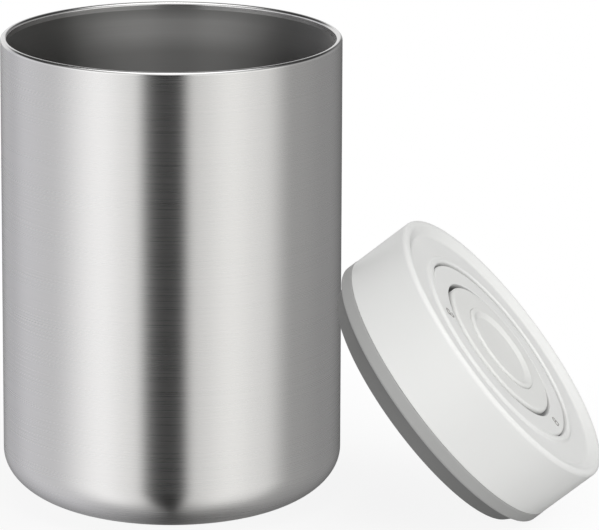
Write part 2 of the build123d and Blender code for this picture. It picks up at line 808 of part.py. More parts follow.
with BuildPart() as intake_cover:
    with BuildSketch(lid_plane.offset(cover_under)):
        Circle(cover_radius)
        Circle(cover_hole_radius, mode=Mode.SUBTRACT)
        with PolarLocations(cover_hole_circle, 2 * port_count):
            Circle(cover_hole_radius, mode=Mode.SUBTRACT)
    extrude(amount=cover_thickness)
intake_cover.part.label = "intake_cover"
export_step(intake_cover.part, "parts/intake_cover.step")

# Vent tube: from the lid base's underside up to the retainer's upper face, on a foot
with BuildPart() as vent_tube:
    with BuildSketch(lid_plane.offset(base_under)):
        with PolarLocations(ring_channel, 1, start_angle=vent_angle):
            Circle(vent_tube_radius)
    extrude(amount=retainer_top - base_under)
    with BuildSketch(lid_plane.offset(base_top)):
        with PolarLocations(ring_channel, 1, start_angle=vent_angle):
            Circle(vent_foot_radius)
    extrude(amount=vent_foot_height)
    with BuildSketch(lid_plane.offset(base_under)):
        with PolarLocations(ring_channel, 1, start_angle=vent_angle):
            Circle(vent_bore)
    extrude(amount=retainer_top - base_under, mode=Mode.SUBTRACT)
vent_tube.part.label = "vent_tube"
export_step(vent_tube.part, "parts/vent_tube.step")


def coil_point(share):
    """A point of the spring's wire, its middle line, at a share of its whole length."""
    turn = 2 * math.pi * spring_turns * share
    across = lid_plane.x_dir * math.cos(turn) + lid_plane.y_dir * math.sin(turn)
    height = spring_low + (spring_high - spring_low) * share
    return Vector(*lid_origin) + across * spring_mean_radius + lid_plane.z_dir * height


def coil_direction(share):
    """The wire's direction at a share of its whole length, of length one."""
    turn = 2 * math.pi * spring_turns * share
    along = lid_plane.y_dir * math.cos(turn) - lid_plane.x_dir * math.sin(turn)
    climb = (spring_high - spring_low) / (2 * math.pi * spring_turns)
    return (along * spring_mean_radius + lid_plane.z_dir * climb).normalized()


def biarc_reach(start, end, start_direction, end_direction):
    """How far along both end directions the two arcs of a biarc have their corners."""
    chord = end - start
    both = start_direction + end_direction
    a = both.dot(both) - 4
    b = -2 * chord.dot(both)
    c = chord.dot(chord)
    return (-b - math.sqrt(b * b - 4 * a * c)) / (2 * a)


# Return spring: one unbroken wire from the cylinder's flange up to the button, each half
# turn as two arcs that share their direction where they meet
spring_low = ear_top + 0.5 * spring_wire + spring_seat_gap
spring_high = button_under - 0.5 * spring_wire - spring_seat_gap
half_turns = 2 * spring_turns
with BuildPart() as return_spring:
    with BuildLine() as coil:
        for step in range(half_turns):
            start = coil_point(step / half_turns)
            end = coil_point((step + 1) / half_turns)
            start_direction = coil_direction(step / half_turns)
            end_direction = coil_direction((step + 1) / half_turns)
            reach = biarc_reach(start, end, start_direction, end_direction)
            first_corner = start + start_direction * reach
            last_corner = end - end_direction * reach
            middle = (first_corner + last_corner) * 0.5
            TangentArc(start, middle, tangent=start_direction)
            TangentArc(middle, end, tangent=last_corner - first_corner)
    with BuildSketch(Plane(origin=coil.line @ 0, z_dir=coil.line % 0)):
        Circle(0.5 * spring_wire)
    sweep(path=coil.line)
return_spring.part.label = "return_spring"
export_step(return_spring.part, "parts/return_spring.step")

# The spring's least gap to itself, measured on points along the wire
samples = 40 * spring_turns
wire_points = [coil_point(k / samples) for k in range(samples + 1)]
least = min(
    (wire_points[j] - wire_points[i]).length
    for i in range(samples)
    for j in range(i + 20, samples + 1)
)
print("spring: least gap between turns", round(least - spring_wire, 3), "mm")
print("spring: rests at", round(spring_high - spring_low + spring_wire, 2), "mm long")
print("lid: leans at", [round(v, 3) for v in lid_origin], "axis", [round(v, 5) for v in lid_normal])
print("lid: lip bottom", round(lip_bottom, 2), "cover bottom", round(cover_under, 2))
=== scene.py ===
# %% [markdown]
# # A steel canister and its vacuum lid
# The object is a brushed steel canister that stands open, with its white lid leaning on its
# wall. Nearly every piece of it was turned or moulded round an axis. So the lesson has one
# main idea: a profile, drawn as a few corners, is turned about an axis. The measured model
# is loaded first and never moved, and the new surfaces are laid exactly on its pieces.

import json
import math

import bpy
import numpy as np
from mathutils import Matrix, Vector


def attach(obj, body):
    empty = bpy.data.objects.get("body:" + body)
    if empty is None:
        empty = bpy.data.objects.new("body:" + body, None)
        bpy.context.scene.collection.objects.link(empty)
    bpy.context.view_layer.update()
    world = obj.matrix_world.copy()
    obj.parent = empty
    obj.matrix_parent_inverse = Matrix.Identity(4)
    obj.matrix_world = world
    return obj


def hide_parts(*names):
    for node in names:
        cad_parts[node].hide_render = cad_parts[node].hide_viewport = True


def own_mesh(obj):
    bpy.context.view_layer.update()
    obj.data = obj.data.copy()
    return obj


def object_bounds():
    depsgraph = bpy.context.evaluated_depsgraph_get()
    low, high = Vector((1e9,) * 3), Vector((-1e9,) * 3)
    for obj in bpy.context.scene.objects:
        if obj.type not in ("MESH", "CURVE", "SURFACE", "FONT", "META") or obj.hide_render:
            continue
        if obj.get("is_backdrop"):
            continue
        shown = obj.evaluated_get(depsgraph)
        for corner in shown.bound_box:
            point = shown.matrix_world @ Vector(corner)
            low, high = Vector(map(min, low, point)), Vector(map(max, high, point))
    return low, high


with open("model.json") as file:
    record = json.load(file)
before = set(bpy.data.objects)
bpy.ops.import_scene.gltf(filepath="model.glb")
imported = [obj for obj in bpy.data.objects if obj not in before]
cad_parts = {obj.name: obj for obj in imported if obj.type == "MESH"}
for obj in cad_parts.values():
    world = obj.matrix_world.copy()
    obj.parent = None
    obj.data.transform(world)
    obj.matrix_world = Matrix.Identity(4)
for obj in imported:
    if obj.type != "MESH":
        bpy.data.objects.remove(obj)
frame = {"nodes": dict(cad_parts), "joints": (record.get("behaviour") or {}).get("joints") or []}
nodes = frame["nodes"]
cad_low, cad_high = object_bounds()
MM = 0.001
print("nodes", len(nodes), "box", [round(side, 4) for side in cad_high - cad_low])

# %% [markdown]
# ## Two axes
# The canister stands on the origin and turns about Z. The lid leans, so it gets a frame of
# its own. The hinge of the turning ring gives the lid's axis, and the lowest point of its
# slope gives the direction across. Heights on the lid count from the parting line between
# the white body and the grey seal, and the lid's origin is where its axis meets that line.

# %% Axes of the canister and of the lid
canister_axes = (np.zeros(3), np.eye(3))

turning = next(joint for joint in frame["joints"] if joint["name"] == "lock_turn")
lid_up = -np.array(turning["axis"], float)
lid_up /= np.linalg.norm(lid_up)
lid_across = np.array([0.0, 0.0, -1.0]) + lid_up[2] * lid_up
lid_across /= np.linalg.norm(lid_across)
lid_side = np.cross(lid_up, lid_across)
lid_origin = np.array([98.3909, -17.8807, 45.4526]) * MM
lid_axes = (lid_origin, np.stack([lid_across, lid_side, lid_up]))
hinge_offset = np.linalg.norm(np.cross(np.array(turning["pos_m"], float) - lid_origin, lid_up))
print("lid axis", lid_up.round(4), "hinge is off it by", round(hinge_offset / MM, 3), "mm")

# %% [markdown]
# ## Profiles with rounded corners
# Moulded and rolled pieces have no knife edges, and it is the small roundings that catch
# the light. A profile is therefore a list of corners, each with its own rounding. A fillet
# starts where the corner's two sides are met by a circle: radius times the tangent of half
# the turn, back from the corner. The direction of the line is kept at every point, because
# the exact direction gives an exact surface normal, with no shading marks on flat places.


# %% A line through rounded corners
def swept(arm, angle):
    """A flat vector turned by each angle: (x cos a - y sin a, x sin a + y cos a)."""
    cos, sin = np.cos(angle), np.sin(angle)
    return np.stack([cos * arm[0] - sin * arm[1], sin * arm[0] + cos * arm[1]], 1)


def rounded_line(corners, closed=True, steps=8, longest=2.5):
    """The pieces of a line through (across, up, rounding) corners, in millimetres.

    At each corner the arc's points are centre + R(angle) (start - centre), where the angle
    goes from nothing to the whole turn. Between corners the line is cut in equal lengths.
    Gives the starts, the ends, and the directions at the starts and at the ends."""
    table = np.array(corners, float)
    point, rounding = table[:, :2], table[:, 2]
    following = np.roll(point, -1, 0)
    area = np.sum(point[:, 0] * following[:, 1] - following[:, 0] * point[:, 1])
    if closed and area < 0:
        point, rounding = point[::-1], rounding[::-1]
    into = point - np.roll(point, 1, 0)
    away = np.roll(point, -1, 0) - point
    into /= np.linalg.norm(into, axis=1)[:, None]
    away /= np.linalg.norm(away, axis=1)[:, None]
    if not closed:
        into[0], away[-1] = away[0], into[-1]
    left_turn = into[:, 0] * away[:, 1] - into[:, 1] * away[:, 0]
    turn = np.arctan2(left_turn, np.sum(into * away, axis=1))
    back = rounding * np.tan(0.5 * np.abs(turn))
    arc_points, arc_ways = [], []
    for corner, ahead, fillet, bend, cut in zip(point, into, rounding, turn, back):
        angle = np.linspace(0, bend, steps + 1 if fillet > 0 else 2)
        left = np.array([-ahead[1], ahead[0]]) * np.sign(bend)
        arc_points.append(corner - ahead * cut + left * fillet + swept(-left * fillet, angle))
        arc_ways.append(swept(ahead, angle))
    starts, ends, ways_in, ways_out = [], [], [], []
    for k in range(len(point)):
        if rounding[k] > 0:
            starts.append(arc_points[k][:-1])
            ends.append(arc_points[k][1:])
            ways_in.append(arc_ways[k][:-1])
            ways_out.append(arc_ways[k][1:])
        if k + 1 < len(point) or closed:
            run_start, run_end = arc_points[k][-1], arc_points[(k + 1) % len(point)][0]
            length = np.linalg.norm(run_end - run_start)
            cuts = max(1, math.ceil(length / longest))
            run = run_start + (run_end - run_start) * np.linspace(0, 1, cuts + 1)[:, None]
            way = np.repeat(((run_end - run_start) / max(length, 1e-9))[None], cuts, 0)
            starts.append(run[:-1])
            ends.append(run[1:])
            ways_in.append(way)
            ways_out.append(way)
    line = [np.concatenate(part) for part in (starts, ends, ways_in, ways_out)]
    real = np.linalg.norm(line[1] - line[0], axis=1) > 1e-6
    return [part[real] for part in line]


test_line = rounded_line([(0, 0, 0), (10, 0, 2), (10, 8, 0), (0, 8, 0)])
print("a test profile has", len(test_line[0]), "pieces")

# %% [markdown]
# ## From points to a piece
# A mesh takes points, faces, and a normal at every corner of every face. Each piece rides
# on a body of the measured model, so that it moves with that body's joint.


# %% Places, and a mesh with its own normals
def place(axes, across, side, up):
    """Points of an axis frame, in millimetres, as places in metres: origin + across X + side Y + up Z."""
    origin, rows = axes
    return origin + (across[..., None] * rows[0] + side[..., None] * rows[1] + up[..., None] * rows[2]) * MM


def mesh_object(name, points, faces, normals, material, body):
    """A mesh from points and faces, with a normal of its own at every corner of every face."""
    mesh = bpy.data.meshes.new(name)
    mesh.from_pydata(points.tolist(), [], faces)
    mesh.polygons.foreach_set("use_smooth", np.ones(len(mesh.polygons), bool))
    mesh.normals_split_custom_set(normals.tolist())
    mesh.materials.append(material)
    made = bpy.data.objects.new(name, mesh)
    bpy.context.scene.collection.objects.link(made)
    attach(made, body)
    return made


print("the lid's origin is at", place(lid_axes, *np.zeros((3, 1))).round(4)[0])

# %% [markdown]
# ## Turning a profile
# The surface has two parameters, the place on the profile and the angle about the axis.
# All its points come from one array product. Points on the axis are one shared point, so
# that the pole is closed, and the last ring of faces uses the first ring's points again.


# %% Turn a profile about an axis
def turned(name, axes, line, material, body, around=288):
    """A profile turned about an axis.

    The point at place s and angle a is (across(s) cos a, across(s) sin a, up(s)), and the
    normal is the profile's direction turned a quarter to the right, carried round by a."""
    start, end, way_in, way_out = line
    count = len(start)
    joined = np.linalg.norm(end[-1] - start[0]) < 1e-6
    rings = start if joined else np.concatenate([start, end[-1:]])
    angle = np.linspace(0, 2 * np.pi, around, endpoint=False)
    cos, sin = np.cos(angle), np.sin(angle)
    on_axis = rings[:, 0] < 1e-6
    grid = place(axes, rings[:, :1] * cos, rings[:, :1] * sin, np.repeat(rings[:, 1:], around, 1))
    width = np.where(on_axis, 1, around)
    first = np.concatenate([[0], np.cumsum(width)[:-1]])
    points = np.concatenate([grid[row, :size] for row, size in enumerate(width)])
    low = np.arange(count)
    high = (low + 1) % len(rings)
    turn = np.arange(around)
    after = (turn + 1) % around

    def index(ring, step):
        """The numbers of a ring's points, where a ring on the axis has only one."""
        return first[ring][:, None] + np.where(on_axis[ring][:, None], 0, step[None])

    def normal(way, step):
        """The profile's direction turned a quarter to the right, and carried round the axis."""
        flat = np.stack([way[:, 1], -way[:, 0]], 1)
        rows = axes[1]
        out = (flat[:, :1] * cos[step])[..., None] * rows[0] + (flat[:, :1] * sin[step])[..., None] * rows[1]
        return out + flat[:, 1:, None] * rows[2]

    corner = np.stack([index(low, turn), index(low, after), index(high, after), index(high, turn)], -1)
    shade_low = [normal(way_in, turn), normal(way_in, after)]
    shade_high = [normal(way_out, after), normal(way_out, turn)]
    shade = np.stack(shade_low + shade_high, 2)
    low_pole, high_pole = on_axis[low], on_axis[high]
    kinds = (
        (~low_pole & ~high_pole, [0, 1, 2, 3]),
        (low_pole & ~high_pole, [0, 2, 3]),
        (high_pole & ~low_pole, [0, 1, 2]),
    )
    faces, normals = [], []
    for rows_used, kept in kinds:
        if rows_used.any():
            faces += corner[rows_used][..., kept].reshape(-1, len(kept)).tolist()
            normals.append(shade[rows_used][..., kept, :].reshape(-1, 3))
    made = mesh_object(name, points, faces, np.concatenate(normals), material, body)
    print(name, "faces", len(faces), "profile pieces", count)
    return made


# %% [markdown]
# ## Nodes in few words
# Every finish, the floor and the studio are node trees. A small helper makes one node,
# gives it its settings, and then fills its sockets: with a link where the value comes out
# of another node, and with the plain value where it is the same all over.


# %% Helpers for node trees
def empty_tree(block):
    """The node tree of a material or a world, with nothing in it."""
    block.use_nodes = True
    block.node_tree.nodes.clear()
    return block.node_tree


def shader_node(tree, kind, sockets=None, **settings):
    """A new node with its settings, and its input sockets linked or set."""
    made = tree.nodes.new("ShaderNode" + kind)
    for setting, value in settings.items():
        setattr(made, setting, value)
    for socket, value in (sockets or {}).items():
        if isinstance(value, bpy.types.NodeSocket):
            tree.links.new(value, made.inputs[socket])
        else:
            made.inputs[socket].default_value = value
    return made


def mixed(tree, share, below, above):
    """The colour below where the share is 0, and the colour above where it is 1."""
    sockets = {"Factor": share, "A": below, "B": above}
    return shader_node(tree, "Mix", sockets, data_type="RGBA").outputs["Result"]


def ranged(tree, value, low, high, to_low=0.0, to_high=1.0):
    """A value carried evenly from the range low to high to the range to_low to to_high."""
    sockets = {"Value": value, "From Min": low, "From Max": high, "To Min": to_low, "To Max": to_high}
    return shader_node(tree, "MapRange", sockets).outputs["Result"]


print("node helpers", 4)

# %% [markdown]
# ## Moulded plastic
# Polypropylene and silicone are never one even colour. Light comes back from a little
# below the surface, the mould leaves a faint grain, and hands leave slightly glossier
# places. Three noises on Object coordinates do that: a broad one for the colour, a middle
# one for the gloss, and a fine one for the grain. Some pieces also get darker along the
# lid's axis: a wall deep in a narrow gap gets painted shade in its colour, and the seal's
# lip is darker than its flange. The height on the axis is a dot product with its direction.


# %% A colour that gets darker down the lid's axis
def darker_below(tree, where, colour, low, high, keep):
    """A colour times keep below the height low on the lid's axis, whole above high, and evenly between."""
    up = shader_node(tree, "VectorMath", {0: where, 1: lid_up}, operation="DOT_PRODUCT").outputs["Value"]
    level = float(lid_origin @ lid_up)
    share = ranged(tree, up, low * MM + level, high * MM + level, keep)
    return shader_node(tree, "VectorMath", {0: colour, "Scale": share}, operation="SCALE").outputs["Vector"]


noise_low, noise_high = 0.3, 0.7
print("most of a noise lies between", noise_low, "and", noise_high)


# %% A moulded finish
def moulded(name, dark, light, gloss, grain, depth, sheen=0.0, shade=None):
    """A plastic, rubber or felt.

    Its colour lies between dark and light by a broad noise, and its roughness between the
    two of gloss by a middle one. A fine noise, whose scale is grain, lifts it by depth."""
    made = bpy.data.materials.new(name)
    tree = empty_tree(made)
    where = shader_node(tree, "TexCoord").outputs["Object"]
    noises = []
    for scale, detail in ((14.0, 3.0), (90.0, 4.0), (grain, 2.0)):
        noise = shader_node(tree, "TexNoise", {"Scale": scale, "Detail": detail, "Vector": where})
        noises.append(noise.outputs["Fac"])
    colour = mixed(tree, noises[0], (*dark, 1), (*light, 1))
    if shade:
        colour = darker_below(tree, where, colour, *shade)
    roughness = ranged(tree, noises[1], noise_low, noise_high, *gloss)
    bump = shader_node(tree, "Bump", {"Strength": depth, "Distance": 0.0001, "Height": noises[2]})
    sockets = {"Base Color": colour, "Roughness": roughness, "Normal": bump.outputs["Normal"]}
    shader = shader_node(tree, "BsdfPrincipled", {"Sheen Weight": sheen, **sockets})
    shader_node(tree, "OutputMaterial", {"Surface": shader.outputs["BSDF"]})
    return made


# %% The lid's white, grey and dark finishes
body_white = ((0.70, 0.705, 0.69), (0.745, 0.745, 0.73), (0.30, 0.42))
button_white = ((0.68, 0.685, 0.665), (0.725, 0.725, 0.705), (0.32, 0.45))
plastic_grain, rubber_grain = 2600.0, 1500.0
# The walls deep in the ring's gap and in the button's gap are darkened below a height on the lid's axis:
# painted shade.
painted_shade_in_ring_gap, painted_shade_in_button_gap = (19.6, 21.4, 0.03), (19.8, 21.5, 0.03)
# The seal's lip is darker than its flange.
flange_to_lip = (-5.2, -4.9, 0.45)

white_moulding = moulded("white_moulding", *body_white, plastic_grain, 0.05)
ring_moulding = moulded("ring_moulding", *body_white, plastic_grain, 0.05, shade=painted_shade_in_ring_gap)
button_moulding = moulded("button_moulding", *button_white, plastic_grain, 0.05, shade=painted_shade_in_button_gap)
pad_moulding = moulded("pad_moulding", *button_white, plastic_grain, 0.05)
grey_moulding = moulded("grey_moulding", (0.20, 0.20, 0.197), (0.24, 0.24, 0.235), (0.40, 0.55), 2200.0, 0.08)
silicone_grey = ((0.32, 0.32, 0.314), (0.36, 0.36, 0.352), (0.48, 0.60))
grey_silicone = moulded("grey_silicone", *silicone_grey, rubber_grain, 0.12, sheen=0.12, shade=flange_to_lip)
dark_rubber = moulded("dark_rubber", (0.10, 0.10, 0.10), (0.14, 0.14, 0.138), (0.55, 0.7), rubber_grain, 0.15)
felt = moulded("felt", (0.52, 0.51, 0.48), (0.62, 0.61, 0.58), (0.85, 0.95), 3000.0, 0.8, sheen=0.4)
print("moulded finishes", 8)

# %% [markdown]
# ## Brushed steel
# The sheet was brushed round the canister, so the scratches run level. Each scratch hardly
# spreads light along itself and spreads it a lot across itself, which draws every
# reflection out up and down. That is what the anisotropic setting with a tangent about Z
# does. The scratches themselves are a noise squeezed along Z: one runs for centimetres
# round the wall, and several lie in each millimetre up it. The rolled rim and the small
# steel pieces were polished or turned, so they have the scratches without that setting.


# %% A brushed finish
def brushed(name, dark, light, roughness, anisotropic=None, lines=5200.0):
    """Steel with level scratches: two stretched noises tint it, change its roughness and lift its surface."""
    made = bpy.data.materials.new(name)
    tree = empty_tree(made)
    where = shader_node(tree, "TexCoord").outputs["Object"]
    fields = []
    for across, up in ((14.0, lines), (5.0, lines * 0.3)):
        squeezed = shader_node(tree, "Mapping", {"Vector": where, "Scale": (across, across, up)})
        stretched = {"Vector": squeezed.outputs["Vector"], "Scale": 1.0, "Detail": 3.0}
        fields.append(shader_node(tree, "TexNoise", stretched).outputs["Fac"])
    scratch = shader_node(tree, "Math", {0: fields[0], 1: fields[1]}, operation="ADD").outputs["Value"]
    bump = shader_node(tree, "Bump", {"Strength": 0.006, "Distance": 0.00001, "Height": scratch})
    sum_low, sum_high = 0.7, 1.3
    sockets = {
        "Metallic": 1.0,
        "Base Color": mixed(tree, ranged(tree, scratch, sum_low, sum_high), (*dark, 1), (*light, 1)),
        "Roughness": ranged(tree, scratch, sum_low, sum_high, *roughness),
        "Normal": bump.outputs["Normal"],
    }
    if anisotropic:
        about_z = shader_node(tree, "Tangent", direction_type="RADIAL", axis="Z").outputs["Tangent"]
        sockets.update({"Anisotropic": anisotropic, "Anisotropic Rotation": 0.25, "Tangent": about_z})
    shader = shader_node(tree, "BsdfPrincipled", sockets)
    shader_node(tree, "OutputMaterial", {"Surface": shader.outputs["BSDF"]})
    return made


# %% The steel finishes
wall_greys = ((0.71, 0.705, 0.70), (0.75, 0.74, 0.735))
# The liner's grey is darker than the wall's: partly a duller steel, and partly painted shade for the
# canister's deep inside.
liner_greys = ((0.40, 0.397, 0.39), (0.43, 0.427, 0.42))
# The rim's paler grey is partly its polish and partly a painted highlight.
rim_greys = ((0.80, 0.795, 0.79), (0.84, 0.835, 0.83))
turned_greys = ((0.55, 0.545, 0.54), (0.66, 0.655, 0.65))
brushed_wall = brushed("brushed_wall", *wall_greys, (0.265, 0.295), anisotropic=0.92)
brushed_liner = brushed("brushed_liner", *liner_greys, (0.47, 0.53), anisotropic=1.0)
rim_steel = brushed("rim_steel", *rim_greys, (0.12, 0.16))
turned_steel = brushed("turned_steel", *turned_greys, (0.20, 0.32), lines=900.0)
print("steel finishes", 4)

# %% [markdown]
# ## The canister
# Its wall is thin sheet, so a profile of the whole wall section is drawn: outside up, over
# the rolled rim, and down inside to the hem. The bottom corner is a quarter of an ellipse,
# which a fillet can't be, so its points are worked out and put between the other corners.
# The rim was rolled after brushing and is smoother, so its faces get a finish of their own.
# Its paler grey brightens the rim's reflection: partly the polish, and partly a painted highlight.

# %% Sizes of the wall, in millimetres
radius, height, wall = 60.0, 168.0, 0.9
corner_wide, corner_high, rim = 30.8, 19.2, 2.3
hem, cap_radius = 2.6, 25.0
foot = radius - corner_wide
print("the flat foot reaches out to", round(foot, 2), "mm")


# %% Lines for the bottom corner
def quarter_ellipse(wide, high, centre_up, cuts=28):
    """A quarter of an ellipse: across = foot + wide sin a, up = centre_up - high cos a."""
    angle = np.linspace(0, np.pi / 2, cuts + 1)
    run = np.stack([foot + wide * np.sin(angle), centre_up - high * np.cos(angle)], 1)
    way = np.stack([wide * np.cos(angle), high * np.sin(angle)], 1)
    way /= np.linalg.norm(way, axis=1)[:, None]
    return [run[:-1], run[1:], way[:-1], way[1:]]


def backwards(line):
    """The same line, gone along the other way."""
    start, end, way_in, way_out = line
    return [end[::-1], start[::-1], -way_out[::-1], -way_in[::-1]]


def chained(*lines):
    """Several lines, each ending where the next one starts, as one."""
    return [np.concatenate(parts_of_lines) for parts_of_lines in zip(*lines)]


outer_corner = quarter_ellipse(corner_wide, corner_high, corner_high)
inner_corner = backwards(quarter_ellipse(corner_wide - wall, corner_high - wall, corner_high))
print("pieces in the two bottom corners", len(outer_corner[0]), len(inner_corner[0]))

# %% The outer wall with its rolled rim
rolled = 0.5 * rim - 0.001
outside = rounded_line(
    [
        (radius, corner_high, 0),
        (radius, height, rolled),
        (radius - rim, height, rolled),
        (radius - rim, height - hem, 0),
        (radius - wall, height - hem, 0),
        (radius - wall, corner_high, 0),
    ],
    closed=False,
    steps=16,
)
under = rounded_line([(foot, wall, 0), (cap_radius, wall, 0), (cap_radius, 0, 0), (foot, 0, 0)], closed=False)
wall_line = chained(outer_corner, outside, inner_corner, under)
outer_wall = turned("outer_wall", canister_axes, wall_line, brushed_wall, "canister", around=360)
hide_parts("outer_shell")

# %% The finish of the rim
outer_wall.data.materials.append(rim_steel)
face_middle = np.empty(3 * len(outer_wall.data.polygons), np.float32)
outer_wall.data.polygons.foreach_get("center", face_middle)
on_rim = face_middle[2::3] > (height - 0.5 * rim) * MM
outer_wall.data.polygons.foreach_set("material_index", on_rim.astype(np.int32))
print("faces of the polished rim", int(on_rim.sum()))

# %% The inner vessel with its soft slope
mouth, bore, liner = radius - rim, radius - rim - 3.1, 0.8
slope_top, slope_foot, floor_up, bowl = 163.0, 154.0, wall + 6.0 + liner, 18.0
top_bend, foot_bend = 10.0, 20.0
outer_drop = liner * math.tan(0.5 * math.atan2(mouth - bore, slope_top - slope_foot))
vessel_line = rounded_line(
    [
        (0, floor_up - liner, 0),
        (bore + liner, floor_up - liner, bowl + liner),
        (bore + liner, slope_foot - outer_drop, foot_bend - liner),
        (mouth + liner, slope_top - outer_drop, top_bend + liner),
        (mouth + liner, height - hem, 0),
        (mouth, height - hem, 0),
        (mouth, slope_top, top_bend),
        (bore, slope_foot, foot_bend),
        (bore, floor_up, bowl),
        (0, floor_up, 0),
    ],
    closed=False,
    steps=14,
)
inner_vessel = turned("inner_vessel", canister_axes, vessel_line, brushed_liner, "canister", around=320)
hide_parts("inner_liner")

# %% [markdown]
# ## The lid
# The white body is one moulding: an outer wall, a rim with a soft top, a slope down to the
# recess, and a low ridge round the well that the turning ring sits in. Every change of
# direction is rounded, because the moulder's steel tool was.

# %% The white body
body_radius, body_inside, roof_up = 55.0, 52.8, 19.9
rim_up, rim_inside = 24.5, 52.4
recess_up, recess_radius = 22.1, 49.0
ridge_up, ridge_foot_radius, ridge_radius = 23.1, 40.0, 39.1
well_radius, well_outside, well_foot = 37.2, 40.7, 16.7
undercut_radius, undercut_up = 38.9, 20.2
body_line = rounded_line(
    [
        (body_inside, 0, 0),
        (body_radius, 0, 0.15),
        (body_radius, rim_up, 1.8),
        (rim_inside, rim_up, 2.2),
        (recess_radius, recess_up, 2.2),
        (ridge_foot_radius, recess_up, 1.4),
        (ridge_radius, ridge_up, 1.4),
        (well_radius, ridge_up, 0.9),
        (well_radius, undercut_up, 0),
        (undercut_radius, undercut_up, 0),
        (undercut_radius, well_foot, 0),
        (well_outside, well_foot, 0),
        (well_outside, roof_up, 0),
        (body_inside, roof_up, 0),
    ],
    steps=10,
)
lid_body = turned("lid_body", lid_axes, body_line, white_moulding, "lid", around=320)
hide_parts("lid_housing")

# %% The grey seal below it
seal_inside, flange_radius, flange_down = 46.3, 55.1, -5.0
lip_top_radius, lip_radius, lip_down = 52.9, 49.6, -11.2
groove_radius, groove_top, groove_foot = 47.35, -8.65, -10.15
seal_line = rounded_line(
    [
        (seal_inside, 0, 0),
        (flange_radius, 0, 0.5),
        (flange_radius, flange_down, 1.0),
        (lip_top_radius, flange_down, 0.3),
        (lip_radius, lip_down, 0.8),
        (seal_inside, lip_down, 0.15),
        (seal_inside, groove_foot, 0),
        (groove_radius, groove_foot, 0),
        (groove_radius, groove_top, 0),
        (seal_inside, groove_top, 0),
    ],
    steps=10,
)
soft_seal = turned("soft_seal", lid_axes, seal_line, grey_silicone, "lid", around=320)
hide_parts("seal_ring")

# %% [markdown]
# ## The turning ring and its two padlocks
# The ring is a shallow channel. Two padlocks are raised on it by a hair, one closed and one
# open, so that a thumb can feel them. A raised line is a small profile carried along a
# path: the path gives the middle, and its direction turned a quarter gives the width.

# %% The ring
ring_inside, ring_radius, ring_up, ring_down = 28.3, 36.6, 22.3, 17.0
ear_radius, ear_up = 38.6, 19.9
channel_inside, channel_outside, channel_up = 29.7, 35.2, 20.5
ring_line = rounded_line(
    [
        (ring_inside, ring_down, 0),
        (channel_inside, ring_down, 0),
        (channel_inside, channel_up, 0),
        (channel_outside, channel_up, 0),
        (channel_outside, ring_down, 0),
        (ear_radius, ring_down, 0),
        (ear_radius, ear_up, 0),
        (ring_radius, ear_up, 0),
        (ring_radius, ring_up, 1.0),
        (ring_inside, ring_up, 0.5),
    ],
    steps=8,
)
ring = turned("turning_ring", lid_axes, ring_line, ring_moulding, "turning_ring", around=256)
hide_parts("lock_ring")


# %% A raised line
def raised_line(path, closed, wide=0.55, high=0.15):
    """A low ridge along a path on the ring's face.

    Its section is five points: across = wide/2 times (-1, -0.7, 0, 0.7, 1) and up = high
    times (-0.2, 0.8, 1, 0.8, -0.2), so its two edges lie just below the face. Each point is
    set off square to the path's direction."""
    ahead = np.roll(path, -1, 0) - path
    behind = path - np.roll(path, 1, 0)
    if not closed:
        ahead[-1], behind[0] = behind[-1], ahead[0]
    way = ahead / np.linalg.norm(ahead, axis=1)[:, None] + behind / np.linalg.norm(behind, axis=1)[:, None]
    way /= np.linalg.norm(way, axis=1)[:, None]
    sideways = np.stack([-way[:, 1], way[:, 0]], 1)
    off = 0.5 * wide * np.array([1.0, 0.7, 0.0, -0.7, -1.0])
    up = ring_up + high * np.array([-0.2, 0.8, 1.0, 0.8, -0.2])
    flat = path[:, None] + sideways[:, None] * off[None, :, None]
    points = place(lid_axes, flat[..., 0], flat[..., 1], np.repeat(up[None], len(path), 0))
    rows = np.arange(len(path) if closed else len(path) - 1)[:, None]
    low = rows * 5 + np.arange(4)[None]
    next_low = (rows + 1) % len(path) * 5 + np.arange(4)[None]
    faces = np.stack([low, low + 1, next_low + 1, next_low], -1).reshape(-1, 4)
    return points.reshape(-1, 3), faces


# %% The two lines of a padlock
def padlock_paths(swing):
    """A rounded body, and a bow of half a circle on two legs, swung about the right leg, in millimetres."""
    half_wide, half_high, rounding, bow_radius, leg = 1.225, 0.825, 0.3, 0.95, 0.6
    box = [(-half_wide, -half_high), (half_wide, -half_high), (half_wide, half_high), (-half_wide, half_high)]
    body = rounded_line([(*corner, rounding) for corner in box], steps=5)
    angle = np.linspace(0, np.pi, 17)
    bow = np.stack([bow_radius * np.cos(angle) - bow_radius, leg + bow_radius * np.sin(angle)], 1)
    bow = np.concatenate([[(0.0, 0.0)], bow, [(-2 * bow_radius, 0.0)]])
    lean = math.radians(swing)
    swung = np.array([[math.cos(lean), math.sin(lean)], [-math.sin(lean), math.cos(lean)]])
    right_leg = [0.95, 0.95]
    return (body[0], True), (bow @ swung + right_leg, False)


print("points of a closed padlock", [len(path) for path, closed in padlock_paths(0.0)])

